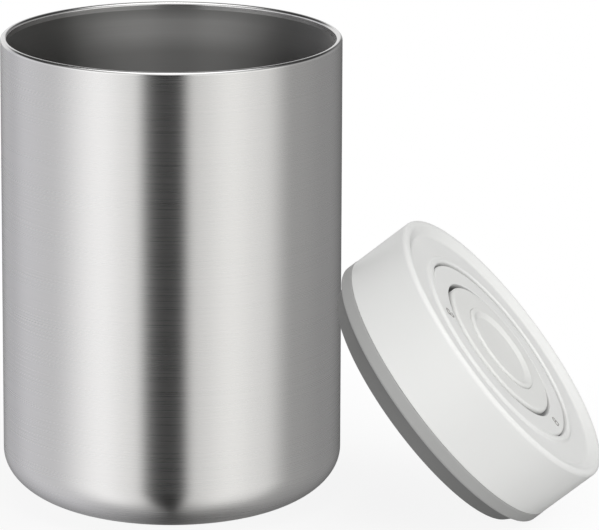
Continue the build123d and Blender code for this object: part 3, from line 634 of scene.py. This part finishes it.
# %% The raised padlocks
closed_place, open_place, open_swing = -3.0, -138.0, -35.0
mark_radius = 32.925
mark_points, mark_faces, used = [], [], 0
for mark_angle, swing in ((closed_place, 0.0), (open_place, open_swing)):
    angle = math.radians(mark_angle)
    outward = np.array([math.cos(angle), math.sin(angle)])
    along = np.array([outward[1], -outward[0]])
    for path, closed in padlock_paths(swing):
        on_ring = -path[:, :1] * along + (mark_radius - path[:, 1:]) * outward
        points, faces = raised_line(on_ring, closed)
        mark_points.append(points)
        mark_faces.append(faces + used)
        used += len(points)
mark_grey = moulded("mark_grey", (0.24, 0.235, 0.22), (0.30, 0.295, 0.28), (0.35, 0.45), plastic_grain, 0.05)
marks_mesh = bpy.data.meshes.new("padlock_marks")
marks_mesh.from_pydata(np.concatenate(mark_points).tolist(), [], np.concatenate(mark_faces).tolist())
marks_mesh.materials.append(mark_grey)
padlock_marks = bpy.data.objects.new("padlock_marks", marks_mesh)
bpy.context.scene.collection.objects.link(padlock_marks)
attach(padlock_marks, "turning_ring")

# %% Their faces point up
face_up = np.empty(3 * len(marks_mesh.polygons), np.float32)
marks_mesh.polygons.foreach_get("normal", face_up)
upward = float(np.mean(face_up.reshape(-1, 3) @ lid_up))
if upward < 0:
    marks_mesh.flip_normals()
print("padlock faces", len(marks_mesh.polygons), "facing up", round(abs(upward), 2))

# %% [markdown]
# ## The pump button and its pad
# The button is a cap with a skirt. Its pad has a raised crest and a shallow dish for a
# fingertip, so the crest catches a ring of light.

# %% The button
button_radius, button_up, button_inside, button_roof = 26.8, 22.9, 25.4, 19.9
skirt_radius, skirt_up, skirt_down = 28.5, 14.4, 12.7
pad_seat_radius, pad_seat_up = 17.3, 21.5
button_line = rounded_line(
    [
        (0, button_roof, 0),
        (button_inside, button_roof, 0),
        (button_inside, skirt_down, 0),
        (skirt_radius, skirt_down, 0),
        (skirt_radius, skirt_up, 0),
        (button_radius, skirt_up, 0),
        (button_radius, button_up, 1.4),
        (pad_seat_radius, button_up, 0.15),
        (pad_seat_radius, pad_seat_up, 0),
        (0, pad_seat_up, 0),
    ],
    closed=False,
    steps=10,
)
push_button = turned("push_button", lid_axes, button_line, button_moulding, "pump", around=256)
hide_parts("pump_button")

# %% Its dished pad
pad_radius, crest_radius, crest_up = 17.2, 15.6, 23.8
dish_radius, dish_up = 13.4, 22.6
pad_line = rounded_line(
    [
        (0, pad_seat_up, 0),
        (pad_radius, pad_seat_up, 0),
        (pad_radius, crest_up, 1.0),
        (crest_radius, crest_up, 1.0),
        (dish_radius, dish_up, 1.0),
        (0, dish_up, 0),
    ],
    closed=False,
    steps=10,
)
finger_pad = turned("finger_pad", lid_axes, pad_line, pad_moulding, "pump", around=256)
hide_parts("button_pad")

# %% [markdown]
# ## The return spring
# A coil spring holds the button up and gets shorter by the button's stroke. The measured
# wire is rigid, and the spring is made again as a round wire along a helix on the lid's
# axis.


# %% A coiled wire
def coiled_wire(name, coil_radius, low, high, turns, wire, material, body, steps=400, around=12):
    """A round wire along a helix on the lid's axis, in millimetres.

    The middle line at share t is (r cos 2 pi n t, r sin 2 pi n t, low + (high - low) t). A
    circle is set round it in the plane of the outward direction and the direction square to
    both that one and the line, and a fan of faces closes each end."""
    share = np.linspace(0, 1, steps + 1)
    angle = 2 * np.pi * turns * share
    zero = np.zeros_like(angle)
    outward = np.stack([np.cos(angle), np.sin(angle), zero], 1)
    middle = coil_radius * outward + np.stack([zero, zero, low + (high - low) * share], 1)
    climb = (high - low) / (2 * np.pi * turns)
    ahead = np.stack([-coil_radius * np.sin(angle), coil_radius * np.cos(angle), zero + climb], 1)
    ahead /= np.linalg.norm(ahead, axis=1)[:, None]
    square = np.cross(ahead, outward)
    spin = np.linspace(0, 2 * np.pi, around, endpoint=False)
    spoke = outward[:, None] * np.cos(spin)[:, None] + square[:, None] * np.sin(spin)[:, None]
    skin = (middle[:, None] + 0.5 * wire * spoke).reshape(-1, 3)
    points = place(lid_axes, *np.concatenate([skin, middle[:1], middle[-1:]]).T)
    row, step = np.arange(steps)[:, None] * around, np.arange(around)
    after, last = (step + 1) % around, steps * around
    sides = np.stack([row + step, row + after, row + around + after, row + around + step], -1)
    sides = sides.reshape(-1, 4)
    start_fan = np.stack([np.full(around, last + around), after, step], 1)
    end_fan = np.stack([np.full(around, last + around + 1), last + step, last + after], 1)
    flat = np.concatenate([spoke.reshape(-1, 3), -ahead[:1], ahead[-1:]]) @ lid_axes[1]
    fans = [np.repeat(flat[fan[:1, 0]], fan.size, 0) for fan in (start_fan, end_fan)]
    normals = np.concatenate([flat[sides.reshape(-1)], *fans])
    faces = sides.tolist() + start_fan.tolist() + end_fan.tolist()
    return mesh_object(name, points, faces, normals, material, body)


# %% The spring
spring_radius, spring_foot, spring_top = 23.5, 0.75, 19.25
stroke, wire, turns = 8.0, 1.2, 5
helix = (spring_radius, spring_foot, spring_top, turns, wire)
coil_spring = coiled_wire("coil_spring", *helix, turned_steel, "lid")
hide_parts("return_spring")
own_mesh(coil_spring)

# %% The spring beside the measured one
for piece in (coil_spring, nodes["return_spring"]):
    spots = np.empty(3 * len(piece.data.vertices), np.float32)
    piece.data.vertices.foreach_get("co", spots)
    reach = spots.reshape(-1, 3) - lid_origin
    off_axis = np.linalg.norm(np.cross(reach, lid_up), axis=1) / MM
    up = reach @ lid_up / MM
    for what, value in (("off the axis", off_axis), ("up", up)):
        print(piece.name, what, value.min().round(2), "to", value.max().round(2))

# %% [markdown]
# ## The pieces that stay as measured
# The pump's inside, the screws, the valves and the lid's grey base already have their true
# shapes. They only need their finishes, which go into their material slots.

# %% Finishes for the measured pieces
finish_of = {
    "lid_base": grey_moulding,
    "ring_retainer": grey_moulding,
    "pump_cylinder": grey_moulding,
    "intake_cover": grey_moulding,
    "vent_tube": grey_moulding,
    "piston": grey_moulding,
    "cylinder_gasket": dark_rubber,
    "inlet_valve": dark_rubber,
    "outlet_valve": dark_rubber,
    "vent_pad": dark_rubber,
    "piston_seal": dark_rubber,
    "retainer_screws": turned_steel,
    "cylinder_screws": turned_steel,
    "piston_screw": turned_steel,
    "intake_filter": felt,
    "base_cap": brushed_wall,
}
for name, finish in finish_of.items():
    slots = nodes[name].data.materials
    slots.clear()
    slots.append(finish)
print("measured pieces with a finish", len(finish_of))

# %% [markdown]
# ## The lid in the mirror
# In the picture that this scene follows, lid and canister were lit apart: the steel shows
# no lid, and the lid catches no light or shade from the steel beside it. The lid's pieces
# are therefore left out of glossy rays, and the canister's out of diffuse ones. That
# changes nothing of the pieces themselves.

# %% Leave the lid out of the steel's reflections, and the steel out of the lid's light
lid_pieces = [lid_body, soft_seal, ring, padlock_marks, push_button, finger_pad, coil_spring]
lid_pieces += [nodes[name] for name in finish_of if name != "base_cap"]
canister_pieces = [outer_wall, inner_vessel, nodes["base_cap"]]
for piece in lid_pieces:
    piece.visible_glossy = False
for piece in canister_pieces:
    piece.visible_diffuse = False
print("lid pieces", len(lid_pieces), "canister pieces", len(canister_pieces))

# %% [markdown]
# ## The floor
# The object stands on a plain pale floor that keeps its shadow. For the camera alone the
# floor also glows, and the more so the further out, until it is as white as the background,
# so its edge never shows. It is left out of glossy reflections, which lets the studio's
# screens reach down behind it.

# %% The floor
half_width = 30.0
fade_start, fade_end, white_near = 0.07, 0.22, 0.84
floor_corners = [(half_width * x, half_width * y, 0) for x, y in ((-1, -1), (1, -1), (1, 1), (-1, 1))]
floor_mesh = bpy.data.meshes.new("studio_floor")
floor_mesh.from_pydata(floor_corners, [], [(0, 1, 2, 3)])
floor = bpy.data.objects.new("studio_floor", floor_mesh)
bpy.context.scene.collection.objects.link(floor)
floor.visible_glossy = False
floor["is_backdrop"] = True

pale = bpy.data.materials.new("pale_floor")
tree = empty_tree(pale)
where = shader_node(tree, "TexCoord").outputs["Object"]
far = shader_node(tree, "VectorMath", {0: where}, operation="LENGTH").outputs["Value"]
fade = ranged(tree, far, fade_start, fade_end, white_near)
seen = shader_node(tree, "LightPath").outputs["Is Camera Ray"]
white_share = shader_node(tree, "Math", {0: fade, 1: seen}, operation="MULTIPLY").outputs["Value"]
matt = shader_node(tree, "BsdfDiffuse", {"Color": (0.72, 0.72, 0.72, 1)}).outputs["BSDF"]
glow = shader_node(tree, "Emission", {"Color": (1, 1, 1, 1)}).outputs["Emission"]
both = shader_node(tree, "MixShader", {"Fac": white_share, 1: matt, 2: glow}).outputs["Shader"]
shader_node(tree, "OutputMaterial", {"Surface": both})
floor_mesh.materials.append(pale)
print("floor", 2 * half_width, "m wide")

# %% [markdown]
# ## What the steel sees
# Steel shows what is round it, so the studio is drawn for it by compass direction and
# height. A direction's compass angle is 0 towards the camera and 90 degrees to the right,
# and comes from the arctangent of two parts of the direction.

# %% Directions in the studio
studio = bpy.data.worlds.new("studio")
bpy.context.scene.world = studio
air = empty_tree(studio)
looking = shader_node(air, "TexCoord").outputs["Generated"]
parts = shader_node(air, "SeparateXYZ", {0: looking}).outputs
forward = shader_node(air, "Math", {0: parts["Y"], 1: -1.0}, operation="MULTIPLY").outputs["Value"]
compass = shader_node(air, "Math", {0: parts["X"], 1: forward}, operation="ARCTAN2").outputs["Value"]
round_share = ranged(air, compass, -math.pi, math.pi)
print("direction nodes", len(air.nodes))


# %% Steps between heights, and colours by compass direction
def step_between(axis, low, high):
    """A smooth step from 0 to 1 as one part of the direction, X, Y or Z, goes from low to high."""
    sockets = {"Value": parts[axis], "From Min": low, "From Max": high}
    return shader_node(air, "MapRange", sockets, interpolation_type="SMOOTHSTEP").outputs["Result"]


def heights(low, high):
    """The step between two heights, in degrees above the horizon."""
    return step_between("Z", math.sin(math.radians(low)), math.sin(math.radians(high)))


def product(first, second):
    """Two shares multiplied."""
    return shader_node(air, "Math", {0: first, 1: second}, operation="MULTIPLY").outputs["Value"]


def grey(level):
    """An even grey as a colour."""
    return (level, level, level, 1)


def by_compass(stops, end_level):
    """A colour by compass direction, and one level straight behind.

    The stops are (degrees, level, share of blue), with an eased change from each to the next."""
    made = shader_node(air, "ValToRGB", {"Fac": round_share})
    made.color_ramp.interpolation = "EASE"
    elements = made.color_ramp.elements
    for end in (elements[0], elements[1]):
        end.color = grey(end_level)
    for degrees, level, blue in stops:
        elements.new((degrees + 180) / 360).color = (level, level, level * blue, 1)
    return made.outputs["Color"]


print("heights of 30 and 90 degrees are", [round(math.sin(math.radians(angle)), 2) for angle in (30, 90)])

# %% [markdown]
# ## Screens, ceiling and canopy
# Pale screens stand round the canister with a dark gap between two of them, and the left
# ones are a little bluer than the right ones. Below them it gets darker, which draws the
# dark line at the canister's foot. A dimmer ceiling is for the canister's inside. A low
# screen behind makes the rim's two ends pale, and one bright canopy overhead draws the
# line of light along the rim.

# %% The screens and the ceiling
screen_stops = [
    (-140, 0.55, 1.04),
    (-115, 0.74, 1.035),
    (-90, 0.72, 1.02),
    (-50, 1.24, 1.0),
    (-26, 0.97, 0.99),
    (-14, 0.06, 1.0),
    (-8, 0.0, 1.0),
    (5, 0.0, 1.0),
    (15.5, 0.83, 0.985),
    (42, 1.11, 0.98),
    (64, 0.95, 0.985),
    (90, 0.42, 0.99),
    (130, 0.33, 1.0),
]
screens = by_compass(screen_stops, 0.1)
towards_screens = heights(-86, -52)
lower_dimming = mixed(air, towards_screens, grey(0.4), grey(1.0))
dimming = {"Factor": 1.0, "A": screens, "B": lower_dimming}
dimmed = shader_node(air, "Mix", dimming, data_type="RGBA", blend_type="MULTIPLY").outputs["Result"]

ceiling_stops = [
    (-150, 0.04, 1.0),
    (-110, 0.04, 1.0),
    (-70, 0.36, 1.0),
    (-30, 0.7, 1.0),
    (25, 0.8, 1.0),
    (55, 0.55, 1.0),
    (85, 0.2, 1.0),
    (110, 0.04, 1.0),
    (150, 0.04, 1.0),
]
ceiling = by_compass(ceiling_stops, 0.3)
above_screens = heights(12, 28)
mirrored = mixed(air, above_screens, dimmed, ceiling)
print("stops of the screens", len(screen_stops), "and of the ceiling", len(ceiling_stops))

# %% The screen behind and the canopy
back_stops = [(-150, 1.0, 1.0), (-132, 0.0, 1.0), (162, 0.0, 1.0), (174, 1.0, 1.0)]
back_heights = product(heights(-14, 0), heights(26, 16))
back_share = product(by_compass(back_stops, 1.0), back_heights)
mirrored = mixed(air, back_share, mirrored, grey(0.85))
not_far_back = step_between("Y", 0.3, 0.1)
canopy_share = product(heights(48, 64), not_far_back)
mirrored = mixed(air, canopy_share, mirrored, grey(1.6))
print("studio nodes", len(air.nodes))

# %% [markdown]
# ## The even sky
# Plastic scatters light and shows no screens, so diffuse rays meet one even sky instead.
# The camera sees plain white behind the object.

# %% The sky, and the white behind the object
rays = shader_node(air, "LightPath").outputs
lit = mixed(air, rays["Is Glossy Ray"], (0.67, 0.67, 0.675, 1), mirrored)
seen_behind = mixed(air, rays["Is Camera Ray"], lit, grey(1))
sky = shader_node(air, "Background", {"Color": seen_behind})
shader_node(air, "OutputWorld", {"Surface": sky.outputs["Background"]})
print("world", studio.name, "with", len(air.nodes), "nodes")

# %% [markdown]
# ## Three lamps
# Large square lamps give the plastic its soft shapes: one above and in front, one low in
# front, and one on the right, where the lid's top faces. The steel doesn't show them.


# %% The lamps
def lamp(name, where_at, aim, size, power):
    """A square lamp at a place, turned to a point."""
    light = bpy.data.lights.new(name, "AREA")
    light.size = size
    light.energy = power
    made = bpy.data.objects.new(name, light)
    made.location = where_at
    made.rotation_mode = "QUATERNION"
    made.rotation_quaternion = (Vector(aim) - Vector(where_at)).to_track_quat("-Z", "Y")
    made.visible_glossy = False
    bpy.context.scene.collection.objects.link(made)
    return made


object_middle = (0.05, 0, 0.07)
key_lamp = lamp("key_lamp", (0.15, -1.1, 1.9), object_middle, size=1.0, power=9.0)
front_lamp = lamp("front_lamp", (-0.2, -1.9, 0.45), object_middle, size=1.0, power=9.5)
side_lamp = lamp("side_lamp", (1.3, -0.7, 1.0), object_middle, size=1.2, power=9.0)
print("watts", [made.data.energy for made in (key_lamp, front_lamp, side_lamp)])

# %% [markdown]
# ## The camera
# The photograph was taken with a long lens, from about 2 m and 15 degrees above. Its
# place was found by matching the canister's straight edges and the ellipses of the rim and
# of the lid. A small sideways shift puts the picture's centre where the photograph has it.

# %% The camera
camera_data = bpy.data.cameras.new("camera")
camera_data.sensor_width = 36.0
camera_data.lens = 344.48
camera_data.shift_x = 0.00371
camera_data.clip_start, camera_data.clip_end = 0.05, 100.0
camera = bpy.data.objects.new("camera", camera_data)
bpy.context.scene.collection.objects.link(camera)
camera_place, tilt, roll, pan = (0.0, -1.96575, 0.59158), 0.25215, 0.00403, 0.02260
ahead = np.array([math.sin(pan) * math.cos(tilt), math.cos(pan) * math.cos(tilt), -math.sin(tilt)])
level_right = np.array([math.cos(pan), -math.sin(pan), 0.0])
level_above = np.cross(level_right, ahead)
right = math.cos(roll) * level_right + math.sin(roll) * level_above
above = math.cos(roll) * level_above - math.sin(roll) * level_right
camera_matrix = Matrix(np.stack([right, above, -ahead], 1).tolist()).to_4x4()
camera_matrix.translation = camera_place
camera.matrix_world = camera_matrix
bpy.context.scene.camera = camera
bpy.context.scene.view_settings.view_transform = "Standard"
print("camera at", [round(part, 3) for part in camera.matrix_world.translation])

# %% [markdown]
# ## Closing measurement
# The new surfaces have to stay in the measured box, so both boxes are written down.

# %% Both boxes, and the end
new_low, new_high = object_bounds()
sides = zip(new_high - new_low, cad_high - cad_low)
print("grown by, mm", [round((new - old) / MM, 3) for new, old in sides])
